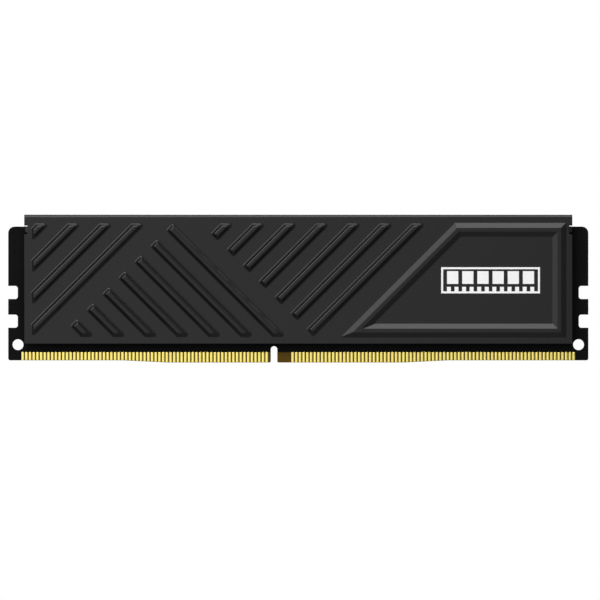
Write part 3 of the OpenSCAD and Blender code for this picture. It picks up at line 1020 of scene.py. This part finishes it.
def capacitors(name, materials, place, chips):
    """Small capacitors above and below each chip, and larger ones at the board's middle."""
    shape = Shape()
    for chip in chips:
        low, high = box_mm(chip)
        middle = (low.x + high.x) / 2
        for x in ABOVE_CHIP:
            capacitor(shape, middle + x, high.z + CAPACITOR_GAP, *SMALL_CAPACITOR)
        for x in BELOW_CHIP:
            capacitor(shape, middle + x, low.z - CAPACITOR_GAP, *SMALL_CAPACITOR)
    for x in BULK_X:
        for z in BULK_Z:
            capacitor(shape, x, z, *BULK_CAPACITOR)
    make_piece(name + "_fitted", shape, materials, [name], place)


def resistor_packs(name, materials, place):
    """Four resistors in one block: glaze on white ceramic, with four tinned ends on each long side."""
    shape = Shape()
    low, high = box_mm("resistor_arrays_front")
    middle, half = (low.z + high.z) / 2, (high.z - low.z) / 2
    face = BOARD_FACE + high.y - low.y
    body, glazed, tinned, bare = 0.98, 0.96, 0.15, 0.08
    for x in pack_places():
        shape.slab((x - body, BOARD_FACE + 0.02, middle - half + bare),
                   (x + body, face - 0.06, middle + half - bare), 0.03, paint=2)
        shape.slab((x - glazed, face - 0.07, middle - 0.24),
                   (x + glazed, face, middle + 0.24), 0.02)
        for k in ROW_OF_FOUR:
            end = x + k * LEAD_PITCH
            for s in (-1, 1):
                z0, z1 = sorted((middle + s * 0.26, middle + s * half))
                shape.slab((end - tinned, BOARD_FACE + 0.005, z0),
                           (end + tinned, face - 0.03, z1), 0.03, paint=1)
    make_piece(name + "_fitted", shape, materials, [name], place)


def settings_chip(materials):
    """The small memory that holds the module's settings: body, eight leads and a dot at the first."""
    shape = Shape()
    low, high = box_mm("spd_eeprom")
    face = -low.y
    lead, lead_half = 0.15, 0.12
    middle = (low.z + high.z) / 2
    shape.slab((low.x + lead, BOARD_FACE + 0.02, low.z), (high.x - lead, face, high.z), 0.05, 0.08)
    for s in (-1, 1):
        x0, x1 = sorted((s * high.x, s * (high.x - 2 * lead)))
        for row in ROW_OF_FOUR:
            z = middle + row * LEAD_PITCH
            shape.slab((x0, BOARD_FACE, z - lead_half),
                       (x1, BOARD_FACE + lead, z + lead_half), 0.03, paint=1)
    dot_low = (low.x + 0.4, face - 0.01, high.z - 0.6)
    dot_high = (low.x + 0.65, face + 0.004, high.z - 0.35)
    shape.slab(dot_low, dot_high, 0.003, 0.1, 2)
    make_piece("settings_chip", shape, materials, ["spd_eeprom"])


def thermal_pad(name, material, place, seed):
    """A soft strip whose cut edges wander a little and bulge where the plate presses it."""
    random.seed(seed)
    shape = Shape()
    inset, corner, spacing, wander = 0.12, 0.8, 1.5, 0.06
    sides = rectangle(PAD_LOW.x, PAD_LOW.z, PAD_HIGH.x, PAD_HIGH.z)
    corners = ring(sides, inset, corner, 3)
    outline = []
    for (x0, z0), (x1, z1) in zip(corners, corners[1:] + corners[:1]):
        pieces = max(1, round(math.hypot(x1 - x0, z1 - z0) / spacing))
        for i in range(pieces):
            t = i / pieces
            slip = random.uniform(-wander, wander)
            outline.append((x0 + t * (x1 - x0) + slip, z0 + t * (z1 - z0) + slip))
    thick = PLATE_INNER - CHIP_FACE
    # Inset of the edge, and the share of the thickness there.
    bulge = [(0.16, 0.0), (0.05, 0.12), (0.0, 0.3), (0.0, 0.7), (0.05, 0.88), (0.16, 1.0)]
    rings = [[(x, CHIP_FACE + thick * d, z) for x, z in moved_in(outline, t)] for t, d in bulge]
    shape.loft(rings)
    make_piece(name + "_pressed", shape, [material], [name], place)


def label(materials):
    """A blank paper label with a printed border, ruled fields and a plain square."""
    shape = Shape()
    x0, x1 = -LABEL_HIGH.x, -LABEL_LOW.x
    z0, z1 = LABEL_LOW.z, LABEL_HIGH.z
    face = LABEL_HIGH.y
    line, margin, fields, square = 0.12, 0.9, 4, 4.0
    shape.slab((x0, LABEL_LOW.y, z0), (x1, face - 0.006, z1), 0.03, 1.0)

    def rule(ax, az, bx, bz):
        shape.slab((ax, face - 0.012, az), (bx, face, bz), 0.004, 0.02, 1)

    left, right, bottom, top = x0 + margin, x1 - margin, z0 + margin, z1 - margin
    rule(left, top - line, right, top)
    rule(left, bottom, right, bottom + line)
    rule(left, bottom + line, left + line, top - line)
    rule(right - line, bottom + line, right, top - line)
    for i in range(1, fields):
        z = bottom + (top - bottom) * i / fields
        end = right - 1 if i == fields - 1 else right - 2.5 - square
        rule(left + 1, z, end, z + line / 2)
    rule(right - 1.2 - square, bottom + 1.2, right - 1.2, bottom + 1.2 + square)
    make_piece("label_sheet", shape, materials, ["label"], "turned")


# ---- Stage ----

def camera():
    """Looks straight at the front, from far enough away to show no perspective."""
    data = bpy.data.cameras.new("camera")
    data.type = "ORTHO"
    data.ortho_scale = VIEW_WIDTH
    eye = bpy.data.objects.new("camera", data)
    eye.location = (VIEW_X, -CAMERA_DISTANCE, VIEW_Z)
    eye.rotation_euler = (math.pi / 2, 0, 0)
    bpy.context.scene.collection.objects.link(eye)
    bpy.context.scene.camera = eye


def softbox(name, direction, distance, size, power):
    """A soft light that faces the middle of the module from a direction, at a distance in metres."""
    data = bpy.data.lights.new(name, "AREA")
    data.shape = "RECTANGLE"
    data.size, data.size_y = size
    data.energy = power
    lamp = bpy.data.objects.new(name, data)
    middle = (cad_low + cad_high) / 2
    away = Vector(direction).normalized()
    lamp.location = middle + away * distance
    lamp.rotation_mode = "QUATERNION"
    lamp.rotation_quaternion = away.to_track_quat("Z", "Y")
    lamp.visible_camera = False
    bpy.context.scene.collection.objects.link(lamp)


def lights():
    softbox("key_above", (0, -0.6, 0.8), 0.5, (0.4, 0.34), 1.77)
    softbox("key_left", (-0.52, -0.68, 0.52), 0.5, (0.36, 0.36), 1.17)
    softbox("fill_left", (-0.79, -0.61, 0), 0.5, (0.2, 0.3), 0.28)
    softbox("fill_low", (0.35, -0.35, -0.87), 0.5, (0.8, 0.4), 0.11)
    softbox("overhead", (0, -0.1, 1), 0.5, (0.4, 0.12), 0.28)
    softbox("side_right", (0.7, -0.12, 0.7), 0.5, (0.25, 0.1), 0.14)
    softbox("front_panel", (-0.32, -1, 0.05), 1.0, (0.8, 0.6), 1.27)
    softbox("back_above", (0.3, 0.75, 0.7), 0.6, (0.5, 0.4), 2.1)
    softbox("back_panel", (0.5, 1, 0.1), 0.9, (0.8, 0.5), 1.6)


def world():
    """A white backdrop that lights the object only dimly."""
    scene_world = bpy.data.worlds.new("studio")
    bpy.context.scene.world = scene_world
    scene_world.use_nodes = True
    tree = scene_world.node_tree
    tree.nodes.clear()
    seen = tree.nodes.new("ShaderNodeBackground")
    dim = tree.nodes.new("ShaderNodeBackground")
    seen.inputs["Color"].default_value = (1, 1, 1, 1)
    dim.inputs["Color"].default_value = (1, 1, 1, 1)
    dim.inputs["Strength"].default_value = 0.28
    ray = tree.nodes.new("ShaderNodeLightPath")
    blend = tree.nodes.new("ShaderNodeMixShader")
    out = tree.nodes.new("ShaderNodeOutputWorld")
    tree.links.new(ray.outputs["Is Camera Ray"], blend.inputs["Fac"])
    tree.links.new(dim.outputs["Background"], blend.inputs[1])
    tree.links.new(seen.outputs["Background"], blend.inputs[2])
    tree.links.new(blend.outputs["Shader"], out.inputs["Surface"])


def floor():
    """A pale floor that the module stands on, and that neither blocks its lights nor throws any back up."""
    reach = 4.0
    corners = [(-reach, -reach, 0), (reach, -reach, 0), (reach, reach, 0), (-reach, reach, 0)]
    mesh = bpy.data.meshes.new("floor")
    mesh.from_pydata(corners, [], [(0, 1, 2, 3)])
    mesh.materials.append(pale_floor())
    ground = bpy.data.objects.new("floor", mesh)
    bpy.context.scene.collection.objects.link(ground)
    ground.visible_diffuse = False
    ground.visible_glossy = False
    ground.visible_shadow = False


def repaint(node, material):
    """Gives a CAD node that stays a better material."""
    for slot in frame["nodes"][node].material_slots:
        slot.material = material


# ---- The module ----

sheet, gold, mask = black_sheet(), gold_plating(), solder_mask()
epoxy, substrate, paled = moulding_compound(), chip_substrate(), laser_mark()
tin, tan, glaze, alumina = tin_solder(), capacitor_ceramic(), resistor_glaze(), white_ceramic()
silicone = filled_silicone()

repaint("pcb", glass_laminate())
repaint("solder_mask_front", mask)
repaint("solder_mask_back", mask)
repaint("front_mark", white_ink())

heat_spreader("front_plate_sheet", sheet, "front")
heat_spreader("back_plate_sheet", sheet, "turned")
CHIPS = {"front": [f"dram_{i}" for i in range(1, 9)], "back": [f"dram_{i}" for i in range(9, 17)]}
for side, place in (("front", "front"), ("back", "mirrored")):
    contacts("contacts_" + side, gold, place)
    traces("traces_" + side, mask, place)
    for chip in CHIPS[side]:
        dram_chip(chip, [epoxy, substrate, paled])
    solder_balls("solder_balls_" + side, tin, place, CHIPS[side])
    capacitors("capacitors_" + side, [tan, tin], place, CHIPS[side])
    resistor_packs("resistor_arrays_" + side, [glaze, tin, alumina], place)
    thermal_pad("thermal_pad_" + side, silicone, place, seed=7 if side == "front" else 11)
settings_chip([epoxy, tin, paled])
label([label_paper(), grey_print()])

camera()
lights()
world()
floor()
bpy.context.scene.view_settings.view_transform = "Standard"
